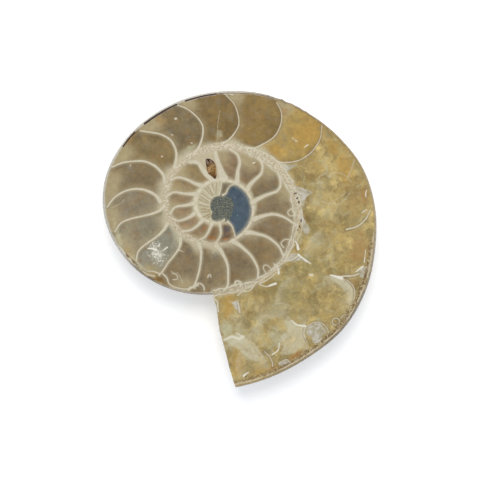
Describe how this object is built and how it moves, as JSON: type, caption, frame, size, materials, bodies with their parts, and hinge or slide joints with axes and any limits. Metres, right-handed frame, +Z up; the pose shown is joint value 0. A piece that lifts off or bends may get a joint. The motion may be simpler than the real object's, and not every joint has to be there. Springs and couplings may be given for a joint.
{
  "type": "ammonite fossil",
  "caption": "Cut and polished half of a coiled ammonite fossil, lying on its ribbed back with the flat polished face up.",
  "frame": {"origin": "under the middle of the outline, at the height of the lowest point of the back", "axes": "+Z up, square to the polished face; +Y towards the top of the picture, away from the aperture; +X to the right"},
  "size_m": [0.0914, 0.099, 0.013],
  "materials": {
    "polished_calcite": "gloss",
    "amber_crystals": "gloss"
  },
  "bodies": {
    "root": {"ammonite_half": "polished_calcite", "chamber_crystals": "amber_crystals"}
  },
  "joints": []
}
